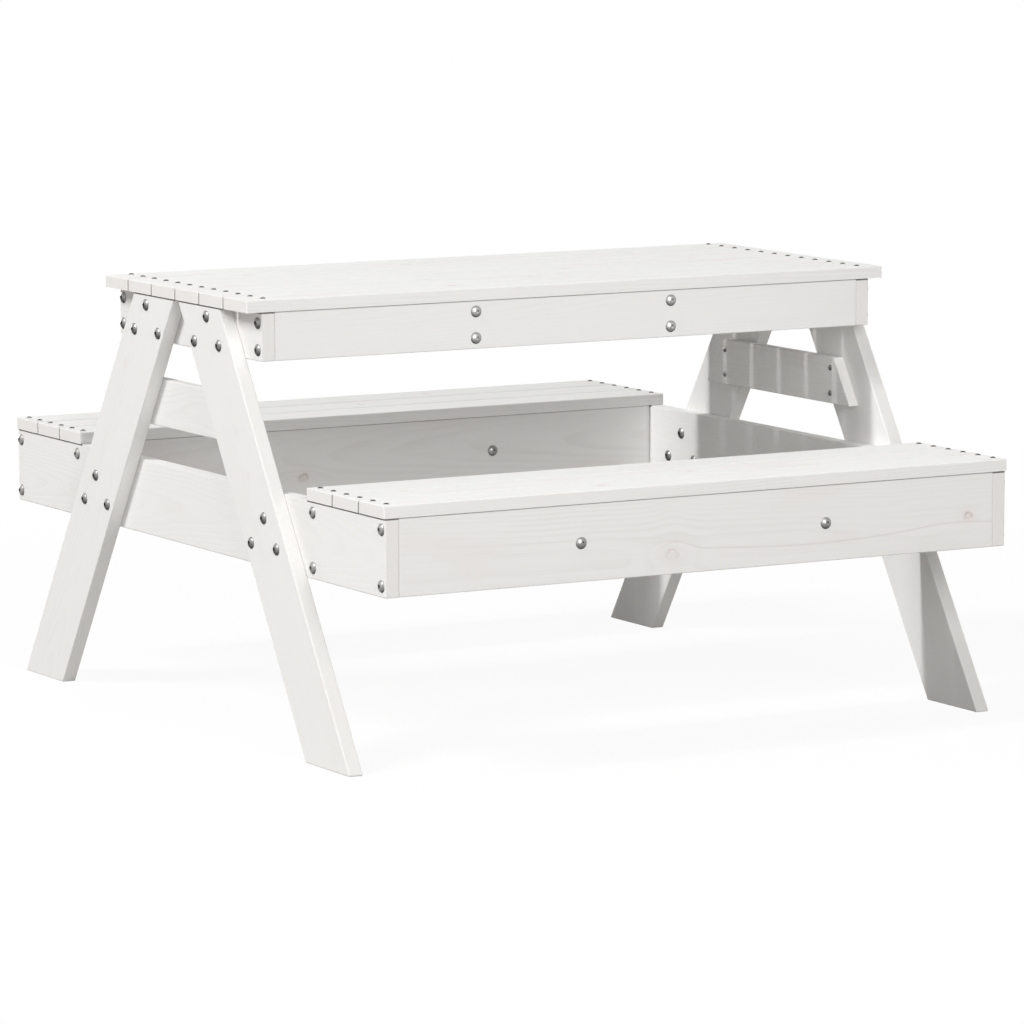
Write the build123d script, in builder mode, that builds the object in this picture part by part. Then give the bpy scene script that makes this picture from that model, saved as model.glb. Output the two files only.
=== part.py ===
from build123d import *
from math import acos, atan2, cos, hypot, tan
import os

os.makedirs("parts", exist_ok=True)

# A child's picnic table: a slatted top and two slatted seats on one bolted frame of boards.
# X runs along the slats, Y runs across from seat to seat and Z is up. The origin is on the
# ground under the middle of the table. Lengths are in millimetres.

# Tabletop
table_height = 560
table_length = 948
table_slat_count = 6
table_slat_width = 64
table_slat_gap = 3.5
table_slat_thickness = 15.5
table_end_overhang = 21
table_side_overhang = 0.75

# Apron frame under the tabletop
apron_height = 62
apron_thickness = 19
batten_reach = 145.5
batten_thickness = 19

# Seats
seat_height = 338.5
seat_slat_count = 3
seat_slat_width = 64
seat_slat_gap = 3.5
seat_slat_thickness = 15.5
seat_end_overhang = 2
seat_outer_overhang = 0.5
seat_inner_overhang = 3.5
seat_leg_gap = 4.5

# Seat frame
seat_board_height = 97
seat_board_thickness = 19
end_board_thickness = 19
spacer_reach = 179
spacer_thickness = 19

# Legs
leg_width = 97
leg_thickness = 19
leg_foot_outset = 263
leg_top_inset = 5.5

# Braces across the legs
brace_height = 62
brace_thickness = 15
brace_end_inset = 49

# Eased edges of the boards. The slats keep sharp edges underneath.
edge_round = 1.5

# Rows of fasteners, measured in from the edges of the boards
frame_row_inset = 14
leg_row_inset = 31
leg_bolt_spread = 34
upper_bolt_offset = 3.5
lower_bolt_offset = 7
brace_screw_margin = 8.5

# Large domed heads, on the frame screws, the leg bolts and their sleeve nuts
domed_head_diameter = 15
domed_head_height = 4
domed_head_rim = 0.9
socket_width = 5
socket_depth = 2.4

# Frame screws, which hold the boards end to face
frame_screw_diameter = 6
frame_screw_length = 60
frame_screw_point = 6

# Leg bolts and the sleeve nuts they screw into
leg_bolt_diameter = 6
leg_bolt_bite = 8
leg_bolt_chamfer = 0.8
sleeve_diameter = 8
sleeve_length = 14
sleeve_bore_depth = 12

# Small screws, which hold the slats and the braces
small_head_diameter = 8
small_head_height = 2.2
small_head_rim = 0.4
cross_recess_length = 4.6
cross_recess_width = 1.1
cross_recess_depth = 1.4
small_screw_diameter = 4
small_screw_point = 4
slat_screw_bite = 8
brace_screw_length = 30

# Clearances
screw_hole_clearance = 0.2
bolt_hole_clearance = 0.4
sleeve_thread_clearance = 0.2
hole_end_gap = 0.5

# Sizes of the tabletop and its frame that follow
table_slat_pitch = table_slat_width + table_slat_gap
table_width = table_slat_count * table_slat_pitch - table_slat_gap
frame_half_length = table_length / 2 - table_end_overhang
apron_half_width = table_width / 2 - table_side_overhang
apron_top = table_height - table_slat_thickness
apron_bottom = apron_top - apron_height
apron_run = 2 * (frame_half_length - apron_thickness)
batten_length = 2 * (apron_half_width - apron_thickness)
apron_rows = (apron_bottom + frame_row_inset, apron_top - frame_row_inset)

# The legs lean so that a board of their width runs from the outer foot corner on the
# ground to the inner top corner under the slats. Their feet stand out past the aprons.
leg_foot_reach = apron_half_width + leg_foot_outset
leg_spread = leg_foot_reach - leg_top_inset
leg_lean = acos(leg_width / hypot(leg_spread, apron_top)) - atan2(apron_top, leg_spread)
leg_cut_width = leg_width / cos(leg_lean)


def leg_outer_edge(height):
    """How far the outer edge of a leg is from the middle of the table at one height."""
    return leg_foot_reach - height * tan(leg_lean)


def leg_middle(height):
    """How far the centre line of a leg is from the middle of the table at one height."""
    return leg_outer_edge(height) - leg_cut_width / 2


# Sizes of the seats and their frame that follow. The inner seat boards clear the legs.
seat_board_top = seat_height - seat_slat_thickness
seat_board_bottom = seat_board_top - seat_board_height
seat_board_middle = (seat_board_top + seat_board_bottom) / 2
seat_board_run = 2 * (frame_half_length - end_board_thickness)
seat_board_rows = (seat_board_bottom + frame_row_inset, seat_board_top - frame_row_inset)
lower_bolt_rows = (seat_board_bottom + leg_row_inset, seat_board_top - leg_row_inset)
seat_slat_pitch = seat_slat_width + seat_slat_gap
seat_width = seat_slat_count * seat_slat_pitch - seat_slat_gap
seat_length = 2 * (frame_half_length + seat_end_overhang)
inner_board_face = leg_outer_edge(seat_board_bottom) + seat_leg_gap
seat_middle = inner_board_face - seat_inner_overhang + seat_width / 2
end_board_half_width = seat_middle + seat_width / 2 - seat_outer_overhang
spacer_start = inner_board_face + seat_board_thickness
spacer_end = end_board_half_width - seat_board_thickness

# Braces lie half way between the seat frame and the aprons
brace_bottom = (seat_board_top + apron_bottom - brace_height) / 2
brace_top = brace_bottom + brace_height
brace_rows = (brace_bottom + frame_row_inset, brace_top - frame_row_inset)

# A leg bolt goes through the leg and on into the bore of its sleeve nut
leg_bolt_length = leg_thickness + apron_thickness - sleeve_length + leg_bolt_bite

# Holes
screw_hole = frame_screw_diameter + screw_hole_clearance
small_screw_hole = small_screw_diameter + screw_hole_clearance
bolt_hole = leg_bolt_diameter + bolt_hole_clearance
sleeve_hole = sleeve_diameter + bolt_hole_clearance

LEFT, RIGHT = -1, 1
FRONT, BACK = -1, 1
ENDS = {"left": LEFT, "right": RIGHT}
SIDES = {"front": FRONT, "back": BACK}


def save(piece, name):
    """Names a finished piece and writes it to its own file."""
    piece.part.label = name
    export_step(piece.part, f"parts/{name}.step")


def brace_end(height):
    """Half the length of a brace at one height: its ends run along the legs."""
    return leg_outer_edge(height) - brace_end_inset


def row_middles(count, pitch):
    """Middles of slats laid side by side, counted from the middle of the row."""
    return [(index - (count - 1) / 2) * pitch for index in range(count)]


# Places for holes and fasteners. Each is a plane on the face that a fastener goes in at,
# with its Z axis pointing out of the board.

def on_end(end, distance, places):
    """Planes that face out along X at one distance, at places given as (y, z)."""
    return [Plane(origin=(end * distance, y, z), x_dir=(0, end, 0), z_dir=(end, 0, 0))
            for y, z in places]


def on_side(side, distance, places):
    """Planes that face out along Y at one distance, at places given as (x, z)."""
    return [Plane(origin=(x, side * distance, z), x_dir=(-side, 0, 0), z_dir=(0, side, 0))
            for x, z in places]


def on_top(height, places):
    """Planes that face up at one height, at places given as (x, y)."""
    return [Plane(origin=(x, y, height)) for x, y in places]


def table_screw_places(end, middles=None):
    """Two screws in each slat of the tabletop, over the middle of the end apron."""
    x = end * (frame_half_length - apron_thickness / 2)
    if middles is None:
        middles = row_middles(table_slat_count, table_slat_pitch)
    return [(x, y + shift * table_slat_pitch / 4) for y in middles for shift in (-1, 1)]


def seat_slat_middles(side):
    """Middles of the slats of one seat."""
    return [side * seat_middle + shift for shift in row_middles(seat_slat_count, seat_slat_pitch)]


def seat_screw_places(end, middles):
    """Two screws in each slat of a seat, over the middle of the end board."""
    x = end * (frame_half_length - end_board_thickness / 2)
    return [(x, y + shift * seat_slat_pitch / 4) for y in middles for shift in (-1, 1)]


def apron_corner_places(sides):
    """Two frame screws at each corner, into the ends of the long aprons."""
    reach = apron_half_width - apron_thickness / 2
    return [(side * reach, z) for side in sides for z in apron_rows]


def seat_corner_places(reaches):
    """Two frame screws at each long seat board, into its end."""
    return [(y, z) for y in reaches for z in seat_board_rows]


outer_board_middle = end_board_half_width - seat_board_thickness / 2
inner_board_middle = inner_board_face + seat_board_thickness / 2
board_reaches = (outer_board_middle, inner_board_middle)
board_middles = [side * reach for side in (FRONT, BACK) for reach in board_reaches]


def batten_places(ends=(LEFT, RIGHT)):
    """Two frame screws at each cross batten, into its end."""
    return [(end * batten_reach, z) for end in ends for z in apron_rows]


def spacer_places(ends=(LEFT, RIGHT)):
    """One frame screw at each spacer, half way up its end."""
    return [(end * spacer_reach, seat_board_middle) for end in ends]


def bolt_triangle(side, rows, offset):
    """Three bolts through a leg: one above, two below and spread to both sides."""
    low, high = rows
    middle = leg_middle((low + high) / 2) + offset
    spread_places = [(side * (middle + shift * leg_bolt_spread), low) for shift in (-1, 1)]
    return [(side * middle, high)] + spread_places


def upper_bolt_places(side):
    """Bolts that hold a leg to the end apron."""
    return bolt_triangle(side, apron_rows, upper_bolt_offset)


def lower_bolt_places(side):
    """Bolts that hold a leg to the end board."""
    return bolt_triangle(side, lower_bolt_rows, lower_bolt_offset)


def brace_screw_places(sides=(FRONT, BACK)):
    """Two screws in line at each end of a brace."""
    reach = brace_end(brace_top) - brace_screw_margin
    return [(side * reach, z) for side in sides for z in brace_rows]


def bore(planes, diameter, depth=None):
    """Drills one hole in from each plane, right through unless a depth is given."""
    with Locations(*planes):
        Hole(radius=diameter / 2, depth=depth)


# How deep a frame screw reaches past the first board, with room at its tip
apron_pilot = frame_screw_length - apron_thickness + hole_end_gap
seat_board_pilot = frame_screw_length - end_board_thickness + hole_end_gap
spacer_pilot = frame_screw_length - seat_board_thickness + hole_end_gap
slat_pilot = slat_screw_bite + hole_end_gap
leg_pilot = brace_screw_length - brace_thickness + hole_end_gap


# Slats of the tabletop, numbered from front to back
def make_table_slat(number, middle):
    with BuildPart() as table_slat:
        with BuildSketch(Plane.XY.offset(apron_top)):
            with Locations((0, middle)):
                Rectangle(table_length, table_slat_width)
        extrude(amount=table_slat_thickness)
        top_edges = table_slat.faces().sort_by(Axis.Z)[-1].edges()
        corner_edges = table_slat.edges().filter_by(Axis.Z)
        fillet(top_edges + corner_edges, radius=edge_round)
        for end in (LEFT, RIGHT):
            bore(on_top(table_height, table_screw_places(end, [middle])), small_screw_hole)
    save(table_slat, f"tabletop_slat_{number}")


# Slats of a seat, numbered from its front edge to its back edge
def make_seat_slat(side_name, number, middle):
    with BuildPart() as seat_slat:
        with BuildSketch(Plane.XY.offset(seat_board_top)):
            with Locations((0, middle)):
                Rectangle(seat_length, seat_slat_width)
        extrude(amount=seat_slat_thickness)
        top_edges = seat_slat.faces().sort_by(Axis.Z)[-1].edges()
        corner_edges = seat_slat.edges().filter_by(Axis.Z)
        fillet(top_edges + corner_edges, radius=edge_round)
        for end in (LEFT, RIGHT):
            bore(on_top(seat_height, seat_screw_places(end, [middle])), small_screw_hole)
    save(seat_slat, f"{side_name}_seat_slat_{number}")


# End apron: closes one end of the apron frame and carries the legs and the slat ends
def make_end_apron(end_name, end):
    with BuildPart() as end_apron:
        with BuildSketch(Plane.YZ.offset(end * frame_half_length)):
            with Locations((0, apron_bottom + apron_height / 2)):
                Rectangle(2 * apron_half_width, apron_height)
        extrude(amount=-end * apron_thickness)
        fillet(end_apron.edges(), radius=edge_round)
        bore(on_end(end, frame_half_length, apron_corner_places((FRONT, BACK))), screw_hole)
        for side in (FRONT, BACK):
            bore(on_end(end, frame_half_length, upper_bolt_places(side)), sleeve_hole)
        bore(on_top(apron_top, table_screw_places(end)), small_screw_hole, slat_pilot)
    save(end_apron, f"end_apron_{end_name}")


# Long apron: runs along one side of the tabletop between the end aprons
def make_long_apron(side_name, side):
    with BuildPart() as long_apron:
        with BuildSketch(Plane.XZ.offset(-side * apron_half_width)):
            with Locations((0, apron_bottom + apron_height / 2)):
                Rectangle(apron_run, apron_height)
        extrude(amount=side * apron_thickness)
        fillet(long_apron.edges(), radius=edge_round)
        bore(on_side(side, apron_half_width, batten_places()), screw_hole, apron_thickness)
        for end in (LEFT, RIGHT):
            bore(on_end(end, apron_run / 2, apron_corner_places((side,))), screw_hole, apron_pilot)
    save(long_apron, f"long_apron_{side_name}")


# Cross batten: spans between the long aprons under the slats
def make_cross_batten(end_name, end):
    with BuildPart() as cross_batten:
        with BuildSketch(Plane.XY.offset(apron_bottom)):
            with Locations((end * batten_reach, 0)):
                Rectangle(batten_thickness, batten_length)
        extrude(amount=apron_height)
        fillet(cross_batten.edges(), radius=edge_round)
        for side in (FRONT, BACK):
            bore(on_side(side, batten_length / 2, batten_places((end,))), screw_hole, apron_pilot)
    save(cross_batten, f"table_batten_{end_name}")


# End board: one board that runs under both seats at one end
def make_end_board(end_name, end):
    with BuildPart() as end_board:
        with BuildSketch(Plane.YZ.offset(end * frame_half_length)):
            with Locations((0, seat_board_middle)):
                Rectangle(2 * end_board_half_width, seat_board_height)
        extrude(amount=-end * end_board_thickness)
        fillet(end_board.edges(), radius=edge_round)
        bore(on_end(end, frame_half_length, seat_corner_places(board_middles)), screw_hole)
        for side in (FRONT, BACK):
            bore(on_end(end, frame_half_length, lower_bolt_places(side)), sleeve_hole)
            slat_places = seat_screw_places(end, seat_slat_middles(side))
            bore(on_top(seat_board_top, slat_places), small_screw_hole, slat_pilot)
    save(end_board, f"end_board_{end_name}")


# Long seat boards: an outer and an inner one under each seat, between the end boards
def make_seat_board(name, side, outer_face):
    with BuildPart() as seat_board:
        with BuildSketch(Plane.XZ.offset(-side * outer_face)):
            with Locations((0, seat_board_middle)):
                Rectangle(seat_board_run, seat_board_height)
        extrude(amount=side * seat_board_thickness)
        fillet(seat_board.edges(), radius=edge_round)
        bore(on_side(side, outer_face, spacer_places()), screw_hole, seat_board_thickness)
        middle = side * (outer_face - seat_board_thickness / 2)
        for end in (LEFT, RIGHT):
            corners = on_end(end, seat_board_run / 2, seat_corner_places((middle,)))
            bore(corners, screw_hole, seat_board_pilot)
    save(seat_board, name)


# Seat spacer: a short board across one seat frame, between its two long boards
def make_seat_spacer(side_name, side, end_name, end):
    with BuildPart() as seat_spacer:
        with BuildSketch(Plane.XY.offset(seat_board_bottom)):
            with Locations((end * spacer_reach, side * (spacer_start + spacer_end) / 2)):
                Rectangle(spacer_thickness, spacer_end - spacer_start)
        extrude(amount=seat_board_height)
        fillet(seat_spacer.edges(), radius=edge_round)
        bore(on_side(side, spacer_end, spacer_places((end,))), screw_hole, spacer_pilot)
        bore(on_side(-side, -spacer_start, spacer_places((end,))), screw_hole, spacer_pilot)
    save(seat_spacer, f"{side_name}_seat_spacer_{end_name}")


# Leg: a leaning board, cut level at the ground and under the slats
def make_leg(side_name, side, end_name, end):
    top_edge = leg_outer_edge(apron_top)
    corners = [
        (side * leg_foot_reach, 0),
        (side * (leg_foot_reach - leg_cut_width), 0),
        (side * (top_edge - leg_cut_width), apron_top),
        (side * top_edge, apron_top),
    ]
    with BuildPart() as leg:
        with BuildSketch(Plane.YZ.offset(end * frame_half_length)):
            with BuildLine():
                Polyline(*corners, close=True)
            make_face()
        extrude(amount=end * leg_thickness)
        fillet(leg.edges(), radius=edge_round)
        outer_face = frame_half_length + leg_thickness
        bore(on_end(end, outer_face, upper_bolt_places(side) + lower_bolt_places(side)), bolt_hole)
        bore(on_end(-end, -frame_half_length, brace_screw_places((side,))), small_screw_hole, leg_pilot)
    save(leg, f"leg_{side_name}_{end_name}")


# Brace: a board across the inner faces of the two legs of one end
def make_brace(end_name, end):
    corners = [
        (-brace_end(brace_bottom), brace_bottom),
        (brace_end(brace_bottom), brace_bottom),
        (brace_end(brace_top), brace_top),
        (-brace_end(brace_top), brace_top),
    ]
    with BuildPart() as brace:
        with BuildSketch(Plane.YZ.offset(end * frame_half_length)):
            with BuildLine():
                Polyline(*corners, close=True)
            make_face()
        extrude(amount=-end * brace_thickness)
        fillet(brace.edges(), radius=edge_round)
        inner_face = frame_half_length - brace_thickness
        bore(on_end(-end, -inner_face, brace_screw_places()), small_screw_hole)
    save(brace, f"leg_brace_{end_name}")


# Fasteners. Each is made upright, with the underside of its head at zero height.
# A shank is given as (radius, height) points from the head down to its tip.

def domed_fastener(shank):
    """A large domed head with a hexagon socket, on a turned shank."""
    with BuildPart() as fastener:
        with BuildSketch(Plane.XZ):
            with BuildLine():
                rim = (domed_head_diameter / 2, domed_head_rim)
                Polyline((0, domed_head_height), *reversed(shank))
                Polyline(shank[0], (domed_head_diameter / 2, 0), rim)
                TangentArc((0, domed_head_height), rim, tangent=(1, 0))
            make_face()
        revolve(axis=Axis.Z)
        with BuildSketch(Plane.XY.offset(domed_head_height)):
            RegularPolygon(radius=socket_width / 2, side_count=6, major_radius=False)
        extrude(amount=-socket_depth, mode=Mode.SUBTRACT)
    return fastener


def small_screw(length):
    """A low domed head with a cross recess, on a pointed shank."""
    head_radius = small_head_diameter / 2
    shank_radius = small_screw_diameter / 2
    with BuildPart() as screw:
        with BuildSketch(Plane.XZ):
            with BuildLine():
                Polyline((0, small_head_height), (0, -length), (shank_radius, small_screw_point - length))
                Polyline((shank_radius, small_screw_point - length), (shank_radius, 0), (head_radius, 0))
                Line((head_radius, 0), (head_radius, small_head_rim))
                TangentArc((0, small_head_height), (head_radius, small_head_rim), tangent=(1, 0))
            make_face()
        revolve(axis=Axis.Z)
        with BuildSketch(Plane.XY.offset(small_head_height)):
            Rectangle(cross_recess_length, cross_recess_width)
            Rectangle(cross_recess_width, cross_recess_length)
        extrude(amount=-cross_recess_depth, mode=Mode.SUBTRACT)
    return screw


def make_fasteners(name, fastener, planes):
    """One group of like fasteners, each a solid of its own, driven in at the given planes."""
    with BuildPart() as group:
        with Locations(*planes):
            add(fastener.part)
    save(group, name)


def frame_screw():
    radius = frame_screw_diameter / 2
    return domed_fastener([
        (radius, 0),
        (radius, frame_screw_point - frame_screw_length),
        (0, -frame_screw_length),
    ])


def leg_bolt():
    radius = leg_bolt_diameter / 2
    tip_radius = radius - leg_bolt_chamfer
    return domed_fastener([
        (radius, 0),
        (radius, leg_bolt_chamfer - leg_bolt_length),
        (tip_radius, -leg_bolt_length),
        (0, -leg_bolt_length),
    ])


def sleeve_nut():
    radius = sleeve_diameter / 2
    blank = domed_fastener([(radius, 0), (radius, -sleeve_length), (0, -sleeve_length)])
    with BuildPart() as nut:
        add(blank.part)
        bore([Plane(origin=(0, 0, -sleeve_length), z_dir=(0, 0, -1))],
             leg_bolt_diameter + sleeve_thread_clearance, sleeve_bore_depth)
    return nut


# The pieces

for number, middle in enumerate(row_middles(table_slat_count, table_slat_pitch), start=1):
    make_table_slat(number, middle)

for side_name, side in SIDES.items():
    for number, middle in enumerate(seat_slat_middles(side), start=1):
        make_seat_slat(side_name, number, middle)
    make_long_apron(side_name, side)
    make_seat_board(f"{side_name}_seat_outer_board", side, end_board_half_width)
    make_seat_board(f"{side_name}_seat_inner_board", side, spacer_start)

for end_name, end in ENDS.items():
    make_end_apron(end_name, end)
    make_cross_batten(end_name, end)
    make_end_board(end_name, end)
    make_brace(end_name, end)
    for side_name, side in SIDES.items():
        make_seat_spacer(side_name, side, end_name, end)
        make_leg(side_name, side, end_name, end)

long_screw = frame_screw()
slat_screw = small_screw(table_slat_thickness + slat_screw_bite)
seat_screw = small_screw(seat_slat_thickness + slat_screw_bite)
brace_screw = small_screw(brace_screw_length)
bolt = leg_bolt()
nut = sleeve_nut()

for end_name, end in ENDS.items():
    outer_face = frame_half_length + leg_thickness
    apron_inner_face = frame_half_length - apron_thickness
    board_inner_face = frame_half_length - end_board_thickness
    upper_places = upper_bolt_places(FRONT) + upper_bolt_places(BACK)
    lower_places = lower_bolt_places(FRONT) + lower_bolt_places(BACK)
    make_fasteners(f"tabletop_screws_{end_name}", slat_screw,
                   on_top(table_height, table_screw_places(end)))
    make_fasteners(f"apron_corner_screws_{end_name}", long_screw,
                   on_end(end, frame_half_length, apron_corner_places((FRONT, BACK))))
    make_fasteners(f"seat_board_screws_{end_name}", long_screw,
                   on_end(end, frame_half_length, seat_corner_places(board_middles)))
    make_fasteners(f"upper_leg_bolts_{end_name}", bolt, on_end(end, outer_face, upper_places))
    make_fasteners(f"lower_leg_bolts_{end_name}", bolt, on_end(end, outer_face, lower_places))
    make_fasteners(f"upper_sleeve_nuts_{end_name}", nut, on_end(-end, -apron_inner_face, upper_places))
    make_fasteners(f"lower_sleeve_nuts_{end_name}", nut, on_end(-end, -board_inner_face, lower_places))
    make_fasteners(f"brace_screws_{end_name}", brace_screw,
                   on_end(-end, brace_thickness - frame_half_length, brace_screw_places()))

for side_name, side in SIDES.items():
    make_fasteners(f"batten_screws_{side_name}", long_screw,
                   on_side(side, apron_half_width, batten_places()))
    make_fasteners(f"{side_name}_spacer_screws", long_screw,
                   on_side(side, end_board_half_width, spacer_places())
                   + on_side(-side, -inner_board_face, spacer_places()))
    for end_name, end in ENDS.items():
        make_fasteners(f"{side_name}_seat_screws_{end_name}", seat_screw,
                       on_top(seat_height, seat_screw_places(end, seat_slat_middles(side))))
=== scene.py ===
"""White-washed pine picnic table for children: finishes, studio light and camera."""
import math
import random

import bmesh
import bpy
from mathutils import Euler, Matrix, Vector


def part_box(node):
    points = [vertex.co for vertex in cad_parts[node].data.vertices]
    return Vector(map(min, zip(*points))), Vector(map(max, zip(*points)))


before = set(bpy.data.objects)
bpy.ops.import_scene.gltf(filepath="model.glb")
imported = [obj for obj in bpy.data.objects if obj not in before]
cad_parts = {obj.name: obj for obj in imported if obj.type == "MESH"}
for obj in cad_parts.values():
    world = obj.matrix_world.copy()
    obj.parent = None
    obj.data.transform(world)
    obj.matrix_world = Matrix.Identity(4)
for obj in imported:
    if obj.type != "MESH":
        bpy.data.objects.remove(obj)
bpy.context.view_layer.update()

# Sizes are in metres and angles in degrees. Noise scales are in waves to the metre.
# A share, from 0 to 1, is how much of one colour covers another.

# Camera, as the photograph was taken
CAMERA_PLACE = (-3.6608, -6.3916, 1.2472)
CAMERA_YAW = 29.956
CAMERA_PITCH = -7.794
CAMERA_REACH = 200.0
FOCAL_PIXELS = 5615.9
IMAGE_PIXELS = 1024
SENSOR_WIDTH = 36.0

# Lamps: place, width and height of the panel, and power in watts
LAMPS = {
    "left_lamp": ((-10.75, 0.31, 10.2), 0.65, 5.20, 1220.0),
    "left_side_lamp": ((-10.75, -1.20, 10.2), 2.40, 5.20, 390.0),
    "front_lamp": ((-0.76, -5.39, 2.89), 3.0, 3.0, 119.0),
    "low_front_lamp": ((-0.8, -5.8, 1.4), 3.0, 3.0, 72.0),
    "front_left_lamp": ((-3.8, -4.4, 1.6), 3.0, 3.0, 22.0),
    "back_lamp": ((0.6, 4.2, 5.0), 3.0, 3.0, 31.0),
    "low_back_lamp": ((0.6, 6.0, 0.75), 3.0, 1.2, 85.0),
    "right_lamp": ((5.6, 2.4, 0.75), 2.4, 1.2, 100.0),
}
LAMP_AIM = (0.0, 0.0, 0.35)
SKY_STRENGTH = 0.185
SKY_COLOUR = (1.0, 0.985, 0.965, 1.0)
FLOOR_HALF_WIDTH = 40.0
FLOOR_GLOW = 0.92
FLOOR_FADE = (0.9, 2.2)
FLOOR_WHITE = (0.95, 0.95, 0.95, 1.0)
FLOOR_GREY = (0.395, 0.378, 0.360, 1.0)

# Nodes that share a finish, by how their names start
SLAT_SCREWS = ("tabletop_screws", "front_seat_screws", "back_seat_screws")
HIGHLIGHTED_SCREWS = ("batten_screws", "seat_board_screws")
FASTENERS = ("screws", "bolts", "nuts")
LEGS = ("leg_front", "leg_back")
END_BOARDS = ("end_", *LEGS)
PLAIN_BOARDS = (*END_BOARDS, "long_apron")

GRAIN_ALONG_X = (1, 0, 0)
GRAIN_ALONG_Y = (0, 1, 0)
UP = (0, 0, 1)
LEG_LEAN = 32.2
TABLE_SLAT_UNDERSIDE = 0.5445
SEAT_SLAT_UNDERSIDE = 0.323
SEAT_INNER_EDGE = 0.320

# Noise scales along the grain and across it, and how far a board's noise is moved at most
RIPPLE_SCALES = (9.0, 22.0)
WANDER_SCALES = (2.1, 3.0)
FIBRE_SCALES = (9.0, 600.0)
THIN_WASH_SCALES = (5.0, 38.0)
STAIN_SCALES = (4.0, 16.0)
NOISE_SHIFT = 40

# The log's pith: how far beside and below a board it lies, and how askew it runs at most
PITH_OVER = (0.004, 0.045)
PITH_DEEP = (0.022, 0.060)
TILT_OVER = 0.03
TILT_DEEP = 0.045

# Rings: their spacing, how far the grain wanders over the board and through it, and where in a
# ring the dark late wood begins and ends
RING_SPACING = 0.0042
RING_RIPPLE = 0.7
RING_FLATNESS = 0.5
WANDER_OVER = 0.030
WANDER_DEEP = 0.016
LATE_WOOD_RISE = (0.35, 0.92)
LATE_WOOD_END = (0.93, 1.0)
DARK_RING_WIDTH = 0.0011
DARK_RING_RIPPLE = 0.002
DARK_RING_FADE = 0.05
DARK_RING_SHARE = 0.36

# Knots: how far the rings go round them, and their own rings in shares of a knot's radius
KNOT_GRAIN_STRETCH = 2.6
KNOT_PUSH = 1.2
KNOT_PUSH_FALL = 0.32
KNOT_FLATNESS = 0.6
KNOT_WARP_SCALE = 130
KNOT_WARP = 0.9
KNOT_RING = 0.72
KNOT_RING_WIDTH = 0.24
KNOT_UPPER_SIDE = (-1.1, 0.9)
KNOT_LOWER_SIDE_SHARE = 0.4
KNOT_HEART = 0.34
KNOT_HEART_SHARE = 0.45
KNOT_SHARE = 0.60
HALO_FALL = 0.30
HALO_SHARE = 0.45

# Knots and bends by chance: their number, and the bounds of their places and sizes
KNOT_COUNTS = (0, 0, 1, 1, 2)
KNOT_REACH_ALONG = 0.42
KNOT_REACH_OVER = 0.02
KNOT_RADII = (0.0030, 0.0060)
KNOT_STRENGTHS = (0.4, 0.9)
BEND_REACH_ALONG = 0.4
BEND_HEIGHT = 0.012
BEND_WIDTHS = (0.06, 0.14)

# Wash: from where to where each part of the wood comes to show, and its share of the colour.
# Shares named bold are for boards whose grain shows most.
FIBRE_SHOWS = (0.42, 0.85)
FIBRE_SHARE = 0.16
BOLD_FIBRE_SHARE = 0.20
THIN_WASH_SHOWS = (0.38, 0.72)
BOLD_LINE_SHARE = 0.035
BOLD_WORN_LINE_SHARE = 0.13
STAIN_SHOWS = (0.55, 0.74)
BOLD_STAIN_SHARE = 0.22
END_FACE_SHOWS = (0.75, 0.95)
END_FACE_LINE_LOSS = 0.6
END_FACE_SHARE = 0.1
END_FACE_FIBRE_SHARE = 0.5
PLAIN_BOLDNESS = 0.4

# Painted shade: darker eased edges and upward narrow sides of the legs, darker end boards beside the
# legs, and the painted shadow under the slats, which is deeper and darker over the end boards
FLAT_FACE = (0.88, 0.995)
END_EDGE_SHADE = 0.65
EDGE_SHADE = 0.3
LEG_SIDE_UP = (0.80, 0.95)
LEG_SIDE_SHADE = 0.5
OUTER_FACE = (0.3, 0.7)
LEG_SHADE = 0.45
LEG_SHADE_REACH = 0.035
END_SLAT_SHADOW = (0.0026, 0.9)
LONG_SLAT_SHADOW = (0.0018, 0.62)
SLAT_SHADOW_FADE = 0.0009
SLAT_SHADOW_START_FADE = 0.001
CONTACT = 0.001

# Steel: its clouds and fine grain, how rough it is, and which sides get a painted highlight or painted
# shade
ZINC_CLOUD_SCALE = 420.0
SLAT_SCREW_CLOUD_SCALE = 700.0
STEEL_GRAIN_SCALE = 2600.0
ZINC_ROUGHNESS = 0.26
SLAT_SCREW_ROUGHNESS = 0.30
CLOUD_ROUGHNESS = 0.16
STEEL_LIT_SIDE = (0.0, -0.45, 0.89)
STEEL_LIT = (-0.45, 0.60)
LIT_CLOUD = 0.5
HEAD_MIDDLE = (0.74, 0.90)
MIDDLE_CLOUD = 0.1
HEAD_HIGHLIGHT_SHARE = 0.35
SCREW_CROWN = (0.62, 0.84)
CROWN_CLOUD = 0.14

# Relief: how much each part of the wood adds, how strongly it shows, and its depth
FIBRE_RELIEF = 0.5
RING_RELIEF = 0.6
THIN_WASH_RELIEF = 0.4
KNOT_RELIEF = 0.5
PINE_BUMP = (0.22, 0.0004)
STEEL_BUMP = (0.10, 0.0001)

PINE_ROUGHNESS = 0.56
FIBRE_ROUGHNESS = 0.16
WORN_ROUGHNESS = 0.05
PINE_SHEEN = 0.3


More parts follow.
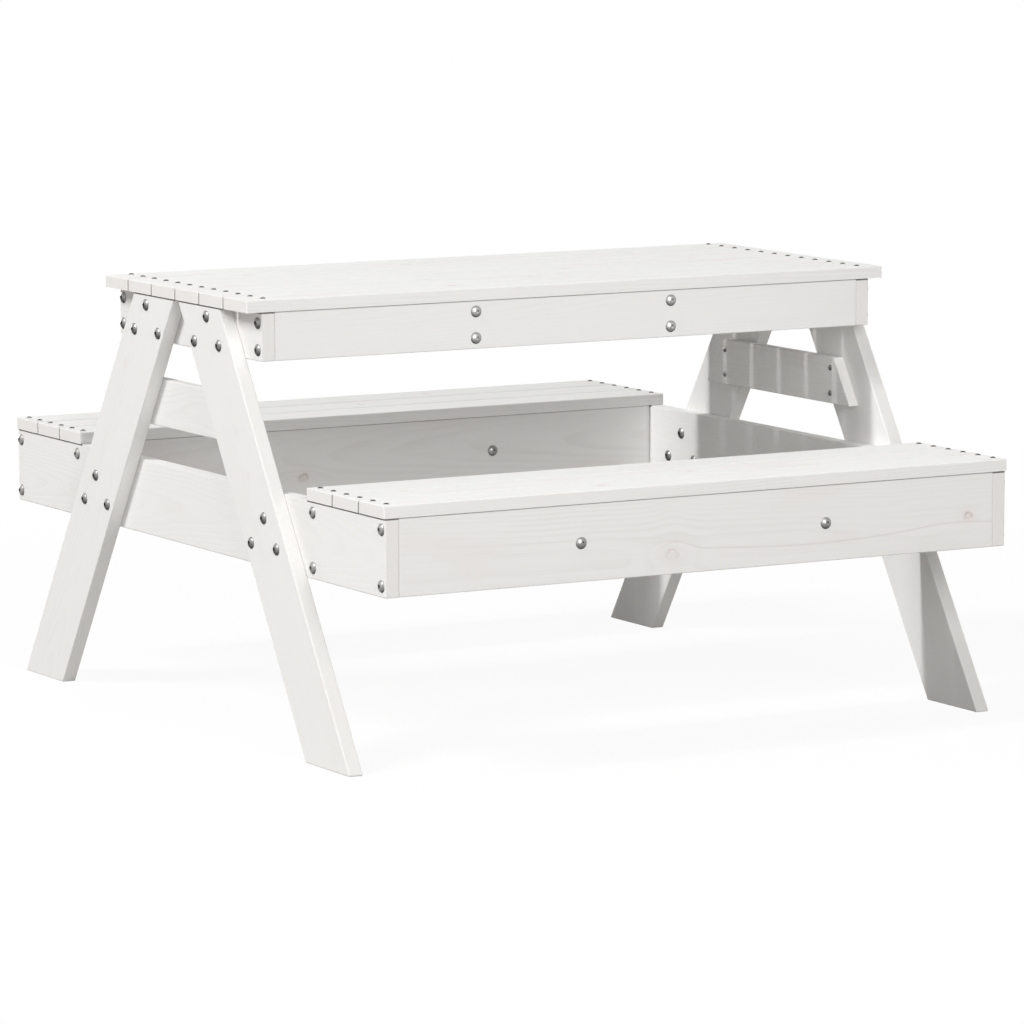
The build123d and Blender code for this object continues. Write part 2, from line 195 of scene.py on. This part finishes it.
class Value:
    """A number, colour or vector that varies over a surface, for shader maths."""

    def __init__(self, finish, socket):
        self.finish = finish
        self.socket = socket

    def math(self, operation, *others):
        values = dict(enumerate((self, *others)))
        return self.finish.node("ShaderNodeMath", {"operation": operation}, values)

    def __add__(self, other):
        return self.math("ADD", other)

    def __sub__(self, other):
        return self.math("SUBTRACT", other)

    def __mul__(self, other):
        return self.math("MULTIPLY", other)

    def __truediv__(self, other):
        return self.math("DIVIDE", other)

    def __rsub__(self, other):
        return self.finish.node("ShaderNodeMath", {"operation": "SUBTRACT"}, {0: other, 1: self})

    def __neg__(self):
        return self * -1

    __radd__ = __add__

    def power(self, exponent):
        return self.math("POWER", exponent)

    def root(self):
        return self.math("SQRT")

    def fraction(self):
        return self.math("FRACT")

    def size(self):
        return self.math("ABSOLUTE")

    def exponential(self):
        return self.math("EXPONENT")

    def falloff(self):
        """1 where the value is 0, and smoothly less to either side."""
        return (-(self * self)).exponential()

    def largest(self, other):
        return self.math("MAXIMUM", other)

    def rise(self, low, high):
        """0 below low, 1 above high, smooth between."""
        settings = {"interpolation_type": "SMOOTHSTEP"}
        values = {"Value": self, "From Min": low, "From Max": high}
        return self.finish.node("ShaderNodeMapRange", settings, values)

    def along(self, direction):
        """How far a vector reaches along one direction."""
        return self.finish.node("ShaderNodeVectorMath", {"operation": "DOT_PRODUCT"},
                                {0: self, 1: direction}, output="Value")


class Finish:
    """A node material while it is being made."""

    def __init__(self, owner):
        self.owner = owner
        owner.use_nodes = True
        self.tree = owner.node_tree
        self.tree.nodes.clear()

    def node(self, kind, settings=None, values=None, output=0):
        """Adds one node: first its settings, then the values or links of its sockets."""
        made = self.tree.nodes.new(kind)
        for name, setting in (settings or {}).items():
            setattr(made, name, setting)
        for name, value in (values or {}).items():
            socket = made.inputs[name]
            if isinstance(value, Value):
                self.tree.links.new(value.socket, socket)
            else:
                socket.default_value = value
        return Value(self, made.outputs[output])

    def place(self):
        """Where a point of the surface is, in metres."""
        return self.node("ShaderNodeTexCoord", output="Object")

    def facing(self):
        """Which way the surface faces, in the object's own axes."""
        return self.node("ShaderNodeTexCoord", output="Normal")

    def vector(self, x, y, z):
        return self.node("ShaderNodeCombineXYZ", values={0: x, 1: y, 2: z})

    def noise(self, where, scale=1.0, detail=2.0):
        """Smooth noise from 0 to 1, with its middle at 0.5."""
        values = {"Vector": where, "Scale": scale, "Detail": detail}
        return self.node("ShaderNodeTexNoise", values=values)

    def mix(self, share, first, second):
        """The first colour, with a share of the second."""
        settings = {"data_type": "RGBA", "clamp_factor": True}
        return self.node("ShaderNodeMix", settings, {0: share, 6: first, 7: second}, output=2)

    def bump(self, height, strength, depth):
        values = {"Strength": strength, "Distance": depth, "Height": height}
        return self.node("ShaderNodeBump", values=values)

    def surface(self, **values):
        """The one shader of a finish, from values by socket name with low lines for spaces."""
        named = {name.replace("_", " "): value for name, value in values.items()}
        self.show(self.node("ShaderNodeBsdfPrincipled", values=named))

    def show(self, shader, kind="ShaderNodeOutputMaterial"):
        made = self.tree.nodes.new(kind)
        self.tree.links.new(shader.socket, made.inputs["Surface"])


def screen_colour(red, green, blue):
    """A colour given as it shows on screen, from 0 to 255, as a shader's linear one."""
    def linear(level):
        share = level / 255
        return share / 12.92 if share <= 0.04045 else ((share + 0.055) / 1.055) ** 2.4
    return (linear(red), linear(green), linear(blue), 1.0)


WASH = screen_colour(240, 240, 239)
WASH_SHADE = screen_colour(233, 231, 228)
GRAIN_LINE = screen_colour(211, 203, 198)
BLUSH = screen_colour(233, 221, 218)
KNOT_WOOD = screen_colour(208, 190, 182)
KNOT_RIM = screen_colour(172, 148, 138)
END_GRAIN = screen_colour(229, 225, 221)
# Painted shade on the edges and beside the legs, and the painted shadow under the slats
PAINTED_SHADE_TONE = screen_colour(218, 216, 213)
SLAT_SHADOW = screen_colour(84, 80, 77)
# Steel with painted shade and highlight, and the slat screws' painted reflection
LIT_STEEL = screen_colour(154, 153, 151)
SHADED_STEEL = screen_colour(52, 51, 50)
STEEL_HIGHLIGHT = screen_colour(205, 204, 202)
SLAT_SCREW_RIM_GLINT = screen_colour(222, 221, 219)
SLAT_SCREW_CROWN_SHADE = screen_colour(46, 45, 44)


class Board:
    """One board's wood: where a point lies in it, and how the rings of its log run through it."""

    def __init__(self, finish, name, middle, grain, across, figure):
        chance = random.Random(name)
        self.finish = finish
        self.figure = figure
        self.middle = middle
        self.grain = grain
        self.across = across
        self.through = Vector(grain).cross(Vector(across))
        from_middle = finish.node("ShaderNodeVectorMath", {"operation": "SUBTRACT"},
                                  {0: finish.place(), 1: middle})
        self.along = from_middle.along(grain)
        self.over = from_middle.along(across)
        self.deep = from_middle.along(self.through)
        self.facing = finish.facing()
        self.shift = chance.uniform(-NOISE_SHIFT, NOISE_SHIFT)
        self.ripple = self.noise(*RIPPLE_SCALES, -self.shift) - 0.5
        self.risen = self.bent_over()
        radius = self.pith_distance(chance)
        self.knot_wood = None
        self.halo = None
        for knot in figure["knots"]:
            radius = self.add_knot(radius, *knot)
        season = (radius / RING_SPACING + self.ripple * RING_RIPPLE + self.shift).fraction()
        self.late_wood = season.rise(*LATE_WOOD_RISE) - season.rise(*LATE_WOOD_END)

    def noise(self, along_scale, over_scale, along_shift=0.0, over_shift=0.0, detail=2.0):
        """Noise with one scale along the grain and one across it, from 0 to 1."""
        where = self.finish.vector(self.along * along_scale + along_shift,
                                   self.over * over_scale + over_shift, self.deep * over_scale)
        return self.finish.noise(where, detail=detail)

    def bent_over(self):
        """The place over the board, bent where the grain rises."""
        risen = self.over
        for place, height, width in self.figure["bends"]:
            risen = risen - ((self.along - place) / width).falloff() * height
        return risen

    def pith_distance(self, chance):
        """The distance from the log's pith, which runs beside the board and a little askew."""
        wander = self.noise(*WANDER_SCALES, self.shift, detail=1.0) - 0.5
        pith_over = chance.choice((-1, 1)) * chance.uniform(*PITH_OVER)
        pith_deep = chance.uniform(*PITH_DEEP)
        tilt_over = chance.uniform(-TILT_OVER, TILT_OVER)
        tilt_deep = chance.uniform(-TILT_DEEP, TILT_DEEP)
        middle_over = (self.over + self.risen) * RING_FLATNESS
        over = middle_over - pith_over + self.along * tilt_over + wander * WANDER_OVER
        deep = self.deep + pith_deep + self.along * tilt_deep + wander * WANDER_DEEP
        return (over * over + deep * deep).root()

    def add_knot(self, rings, place, height, radius, strength):
        """Adds a knot's wood and the glow round it, and returns the rings pushed aside by it."""
        step_along = self.along - place
        step_over = self.over - height
        stretched = step_along / KNOT_GRAIN_STRETCH
        spread = (stretched * stretched + step_over * step_over) / (radius * radius)
        warp = self.noise(KNOT_WARP_SCALE, KNOT_WARP_SCALE, self.shift, detail=1.0) - 0.5
        distance = (step_along * step_along * KNOT_FLATNESS + step_over * step_over).root() / radius
        reach = distance + warp * KNOT_WARP
        upper = (step_over / radius).rise(*KNOT_UPPER_SIDE)
        heavier_above = upper * (1 - KNOT_LOWER_SIDE_SHARE) + KNOT_LOWER_SIDE_SHARE
        ring = ((reach - KNOT_RING) / KNOT_RING_WIDTH).falloff() * heavier_above
        wood = (ring + (reach / KNOT_HEART).falloff() * KNOT_HEART_SHARE) * strength
        halo = (-(reach * reach * HALO_FALL)).exponential() * strength
        self.knot_wood = wood if self.knot_wood is None else self.knot_wood.largest(wood)
        self.halo = halo if self.halo is None else self.halo.largest(halo)
        return rings + (spread * -KNOT_PUSH_FALL).exponential() * radius * KNOT_PUSH

    def washed(self, fibre, worn, boldness):
        """The colour of the washed wood: fibres, rings, pink stains and the paler end grain."""
        stain = self.noise(*STAIN_SCALES, -self.shift, self.shift)
        end_face = self.facing.along(self.grain).size().rise(*END_FACE_SHOWS)
        mix = self.finish.mix
        fibre_share = FIBRE_SHARE + BOLD_FIBRE_SHARE * boldness
        colour = mix(fibre.rise(*FIBRE_SHOWS) * fibre_share, WASH, WASH_SHADE)
        lines = worn * BOLD_WORN_LINE_SHARE + BOLD_LINE_SHARE
        lines = lines * (1 - end_face * END_FACE_LINE_LOSS) * boldness
        colour = mix(self.late_wood * lines, colour, GRAIN_LINE)
        colour = mix(stain.rise(*STAIN_SHOWS) * (BOLD_STAIN_SHARE * boldness), colour, BLUSH)
        return mix(end_face * (fibre * END_FACE_FIBRE_SHARE + END_FACE_SHARE), colour, END_GRAIN)

    def dark_ring(self, colour):
        """One ring that shows darker than the others, from its start to the right end."""
        place, start = self.figure["dark_ring"]
        step = (self.risen - place + self.ripple * DARK_RING_RIPPLE) / DARK_RING_WIDTH
        shown = self.along.rise(start, start + DARK_RING_FADE)
        return self.finish.mix(step.falloff() * shown * DARK_RING_SHARE, colour, GRAIN_LINE)

    def knots(self, colour, boldness):
        """Knots with a brown rim and a pink glow."""
        mix = self.finish.mix
        colour = mix(self.halo * (HALO_SHARE * boldness), colour, BLUSH)
        brown = mix(self.knot_wood, KNOT_WOOD, KNOT_RIM)
        return mix(self.knot_wood * (KNOT_SHARE * boldness), colour, brown)

    def shaded_edges(self, colour):
        """Painted shade on the eased edges, and on the legs on the narrow sides that face up."""
        over = self.facing.along(self.across)
        sides = (self.facing.along(self.grain), over, self.facing.along(self.through))
        flat = sides[0].size().largest(sides[1].size()).largest(sides[2].size()).rise(*FLAT_FACE)
        painted_light_share = (1 - flat) * self.figure["painted_light_share"]
        if self.figure["leaning"]:
            painted_light_share = painted_light_share.largest(over.rise(*LEG_SIDE_UP) * LEG_SIDE_SHADE)
        return self.finish.mix(painted_light_share, colour, PAINTED_SHADE_TONE)

    def leg_shade(self, colour):
        """Painted shade on the outer face of an end board, beside the outer edges of the legs."""
        lean = math.radians(LEG_LEAN)
        where = self.finish.place()
        sideways = where.along(GRAIN_ALONG_Y).size() * math.cos(lean) + where.along(UP) * math.sin(lean)
        shade_near_leg = ((sideways - self.figure["leg_edge"]) / LEG_SHADE_REACH).falloff()
        outwards = self.facing.along(GRAIN_ALONG_X) * math.copysign(1.0, self.middle[0])
        return self.finish.mix(shade_near_leg * outwards.rise(*OUTER_FACE) * LEG_SHADE, colour, PAINTED_SHADE_TONE)

    def slat_shadow(self, colour):
        """Painted shadow along the top of a board, under the slats it carries."""
        level, start, depth, share = self.figure["seam_shadow"]
        where = self.finish.place()
        near_slat = (where.along(UP) - level).rise(-depth, -depth + SLAT_SHADOW_FADE)
        under_slat = where.along(GRAIN_ALONG_Y).size().rise(start - SLAT_SHADOW_START_FADE, start)
        return self.finish.mix(near_slat * under_slat * share, colour, SLAT_SHADOW)


def pine(name, middle, grain, across, figure, boldness):
    """White-washed pine cut from a log.

    grain and across are unit vectors along the board and over its width, and boldness is how
    plainly the grain shows through the wash.
    """
    finish = Finish(bpy.data.materials.new(name))
    board = Board(finish, name, middle, grain, across, figure)
    fibre = board.noise(*FIBRE_SCALES, over_shift=board.shift, detail=3.0)
    thin_wash = board.noise(*THIN_WASH_SCALES, board.shift, detail=3.0)
    worn = thin_wash.rise(*THIN_WASH_SHOWS)
    height = fibre * FIBRE_RELIEF - board.late_wood * RING_RELIEF + thin_wash * THIN_WASH_RELIEF
    colour = board.washed(fibre, worn, boldness)
    if figure["dark_ring"] is not None:
        colour = board.dark_ring(colour)
    if figure["knots"]:
        colour = board.knots(colour, boldness)
        height = height - board.knot_wood * KNOT_RELIEF
    # Painted shade on the edges and beside the legs, and painted shadow under the slats
    colour = board.shaded_edges(colour)
    if figure["leg_edge"] is not None:
        colour = board.leg_shade(colour)
    if figure["seam_shadow"] is not None:
        colour = board.slat_shadow(colour)
    roughness = PINE_ROUGHNESS + fibre * FIBRE_ROUGHNESS + worn * WORN_ROUGHNESS
    finish.surface(Base_Color=colour, Roughness=roughness, Normal=finish.bump(height, *PINE_BUMP),
                   Specular_IOR_Level=PINE_SHEEN)
    return finish.owner


def steel(name, roughness, cloud_scale, shade):
    """Clouded, finely grained steel. shade makes its colour from the finish and the cloud."""
    finish = Finish(bpy.data.materials.new(name))
    where = finish.place()
    cloud = finish.noise(where, scale=cloud_scale, detail=3.0)
    grain = finish.noise(where, scale=STEEL_GRAIN_SCALE)
    finish.surface(Base_Color=shade(finish, cloud), Metallic=1.0,
                   Roughness=roughness + cloud * CLOUD_ROUGHNESS, Normal=finish.bump(grain, *STEEL_BUMP))
    return finish.owner


def zinc_steel(name, painted_light_share):
    """Zinc plate with painted shade on its lower parts.

    The second argument is the share of a painted highlight on the middle of a head.
    """
    def shade(finish, cloud):
        facing = finish.facing()
        # Painted shade on the lower side of a head, brighter on its upper side
        lit = facing.along(STEEL_LIT_SIDE) + (cloud - 0.5) * LIT_CLOUD
        colour = finish.mix(lit.rise(*STEEL_LIT), SHADED_STEEL, LIT_STEEL)
        outwards = facing.along(GRAIN_ALONG_X).size().largest(facing.along(GRAIN_ALONG_Y).size())
        # Painted highlight on the middle of a head that faces sideways
        middle = (outwards + (cloud - 0.5) * MIDDLE_CLOUD).rise(*HEAD_MIDDLE)
        return finish.mix(middle * painted_light_share, colour, STEEL_HIGHLIGHT)
    return steel(name, ZINC_ROUGHNESS, ZINC_CLOUD_SCALE, shade)


def slat_screw_steel():
    """Small bright screws, with a painted dark reflection on the crown and in the cross recess."""
    def shade(finish, cloud):
        # Painted reflection: dark on the crown and in the cross recess, bright on the rim
        crown = (finish.facing().along(UP) + (cloud - 0.5) * CROWN_CLOUD).rise(*SCREW_CROWN)
        return finish.mix(crown, SLAT_SCREW_RIM_GLINT, SLAT_SCREW_CROWN_SHADE)
    return steel("slat_screw_steel", SLAT_SCREW_ROUGHNESS, SLAT_SCREW_CLOUD_SCALE, shade)


def seen_ray(finish):
    """1 for what the camera sees, straight, mirrored or through glass, and 0 for light on things."""
    straight = finish.node("ShaderNodeLightPath", output="Is Camera Ray")
    mirrored = finish.node("ShaderNodeLightPath", output="Is Glossy Ray")
    through = finish.node("ShaderNodeLightPath", output="Is Transmission Ray")
    return straight.largest(mirrored).largest(through)


def studio_floor():
    """A wide pale floor that shows white and keeps a faint shadow near the table."""
    mesh = bpy.data.meshes.new("floor")
    shape = bmesh.new()
    bmesh.ops.create_grid(shape, x_segments=1, y_segments=1, size=FLOOR_HALF_WIDTH)
    shape.to_mesh(mesh)
    shape.free()
    floor = bpy.data.objects.new("floor", mesh)
    bpy.context.scene.collection.objects.link(floor)
    finish = Finish(bpy.data.materials.new("floor_white"))
    seen = seen_ray(finish)
    where = finish.place()
    out = (where.along(GRAIN_ALONG_X).power(2.0) + where.along(GRAIN_ALONG_Y).power(2.0)).root()
    far = out.rise(*FLOOR_FADE)
    tint = finish.mix(seen, FLOOR_GREY, FLOOR_WHITE)
    paint = finish.node("ShaderNodeBsdfDiffuse", values={"Color": tint})
    glow = finish.node("ShaderNodeEmission", values={"Color": (1.0, 1.0, 1.0, 1.0), "Strength": 1.0})
    share = seen * (far * (1 - FLOOR_GLOW) + FLOOR_GLOW)
    finish.show(finish.node("ShaderNodeMixShader", values={0: share, 1: paint, 2: glow}))
    mesh.materials.append(finish.owner)


def studio_sky():
    """White behind the table, and an even soft light on it."""
    world = bpy.data.worlds.new("studio")
    bpy.context.scene.world = world
    finish = Finish(world)
    seen = seen_ray(finish)
    light = finish.node("ShaderNodeBackground", values={"Color": SKY_COLOUR, "Strength": SKY_STRENGTH})
    white = finish.node("ShaderNodeBackground", values={"Color": (1.0, 1.0, 1.0, 1.0), "Strength": 1.0})
    shader = finish.node("ShaderNodeMixShader", values={0: seen, 1: light, 2: white})
    finish.show(shader, "ShaderNodeOutputWorld")


def panel_lamp(name, place, width, height, power):
    """A soft panel that faces the middle of the table."""
    data = bpy.data.lights.new(name, "AREA")
    data.shape = "RECTANGLE"
    data.size = width
    data.size_y = height
    data.energy = power
    lamp = bpy.data.objects.new(name, data)
    lamp.location = place
    lamp.rotation_euler = (Vector(LAMP_AIM) - Vector(place)).to_track_quat("-Z", "Y").to_euler()
    bpy.context.scene.collection.objects.link(lamp)


def camera():
    """The photograph's viewing angle through a long lens."""
    data = bpy.data.cameras.new("camera")
    data.sensor_width = SENSOR_WIDTH
    data.lens = FOCAL_PIXELS / IMAGE_PIXELS * SENSOR_WIDTH
    data.clip_end = CAMERA_REACH
    view = bpy.data.objects.new("camera", data)
    view.location = CAMERA_PLACE
    view.rotation_euler = Euler((math.radians(90 + CAMERA_PITCH), 0.0, math.radians(-CAMERA_YAW)))
    bpy.context.scene.collection.objects.link(view)
    bpy.context.scene.camera = view


def board_directions(node):
    """Along and over a board, as unit vectors. Legs lean outwards from the top."""
    if node.startswith(LEGS):
        lean = math.radians(LEG_LEAN)
        side = -1 if "front" in node else 1
        return (0, -side * math.sin(lean), math.cos(lean)), (0, side * math.cos(lean), math.sin(lean))
    if "slat" in node:
        return GRAIN_ALONG_X, GRAIN_ALONG_Y
    if node.startswith("long_apron") or node.endswith("er_board"):
        return GRAIN_ALONG_X, UP
    return GRAIN_ALONG_Y, UP


# The figure of the boards that show it, from the board's middle, in metres.
# A knot has its place along and over the board, radius and strength. A bend in the grain has its
# place along the board, height and width. A dark ring has its place over the board and its start.
FIGURES = {
    "front_seat_outer_board": {
        "knots": [(0.396, -0.006, 0.0055, 0.85), (-0.048, -0.0243, 0.0085, 0.45)],
        "bends": [(-0.045, 0.014, 0.028), (0.0, 0.005, 0.080), (0.382, 0.0125, 0.098)],
        "dark_ring": (-0.0250, -0.085),
    },
    "back_seat_inner_board": {"knots": [(-0.118, -0.019, 0.0060, 0.9)], "bends": [], "dark_ring": None},
    "leg_brace_left": {
        "knots": [],
        "bends": [(-0.02, 0.012, 0.05), (0.09, -0.008, 0.05)],
        "dark_ring": None,
    },
    "leg_brace_right": {"knots": [], "bends": [(0.05, 0.010, 0.08)], "dark_ring": None},
    "long_apron_front": {"knots": [], "bends": [(0.10, 0.008, 0.12)], "dark_ring": None},
    "leg_front_left": {
        "knots": [(0.140, 0.004, 0.0055, 0.35), (0.077, 0.0055, 0.0035, 0.6)],
        "bends": [],
        "dark_ring": None,
    },
}


def chance_figure(node, length):
    """Up to two small knots and one bend, by chance."""
    chance = random.Random("knots " + node)
    knots = [(chance.uniform(-KNOT_REACH_ALONG, KNOT_REACH_ALONG) * length,
              chance.uniform(-KNOT_REACH_OVER, KNOT_REACH_OVER),
              chance.uniform(*KNOT_RADII), chance.uniform(*KNOT_STRENGTHS))
             for _ in range(chance.choice(KNOT_COUNTS))]
    bend = (chance.uniform(-BEND_REACH_ALONG, BEND_REACH_ALONG) * length,
            chance.uniform(-BEND_HEIGHT, BEND_HEIGHT), chance.uniform(*BEND_WIDTHS))
    return {"knots": knots, "bends": [bend], "dark_ring": None}


def slat_shadow(node, top):
    """The painted shadow on top of a board: slats' underside, how far out it starts, depth and share."""
    look = END_SLAT_SHADOW if node.startswith(END_BOARDS) else LONG_SLAT_SHADOW
    for underside, start in ((TABLE_SLAT_UNDERSIDE, 0.0), (SEAT_SLAT_UNDERSIDE, SEAT_INNER_EDGE)):
        if abs(top - underside) < CONTACT:
            return (underside, start, *look)
    return None


def board_figure(node, low, high):
    """The grain of a board, and where painted shade and shadow go on it."""
    figure = FIGURES[node] if node in FIGURES else chance_figure(node, max(high - low))
    leg_foot = abs(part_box("leg_front_left")[0][1])
    leg_edge = leg_foot * math.cos(math.radians(LEG_LEAN))
    return figure | {
        "leaning": node.startswith(LEGS),
        "leg_edge": leg_edge if node.startswith("end_") else None,
        "painted_light_share": END_EDGE_SHADE if node.startswith(END_BOARDS) else EDGE_SHADE,
        "seam_shadow": slat_shadow(node, high[2]),
    }


def board_pine(node):
    low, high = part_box(node)
    grain, across = board_directions(node)
    figure = board_figure(node, low, high)
    boldness = PLAIN_BOLDNESS if node.startswith(PLAIN_BOARDS) else 1.0
    return pine("pine_" + node, (low + high) / 2, grain, across, figure, boldness)


def finish_nodes():
    """Gives every node its finish."""
    shaded_zinc_steel = zinc_steel("shaded_zinc_steel", 0.0)
    highlighted_steel = zinc_steel("highlighted_steel", HEAD_HIGHLIGHT_SHARE)
    slat_screws = slat_screw_steel()
    for node, piece in sorted(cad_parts.items()):
        if node.startswith(SLAT_SCREWS):
            material = slat_screws
        elif node.startswith(HIGHLIGHTED_SCREWS):
            material = highlighted_steel
        elif any(word in node for word in FASTENERS):
            material = shaded_zinc_steel
        else:
            material = board_pine(node)
        piece.data.materials.clear()
        piece.data.materials.append(material)


finish_nodes()
studio_floor()
studio_sky()
for lamp, panel in LAMPS.items():
    panel_lamp(lamp, *panel)
camera()
bpy.context.scene.view_settings.view_transform = "Standard"
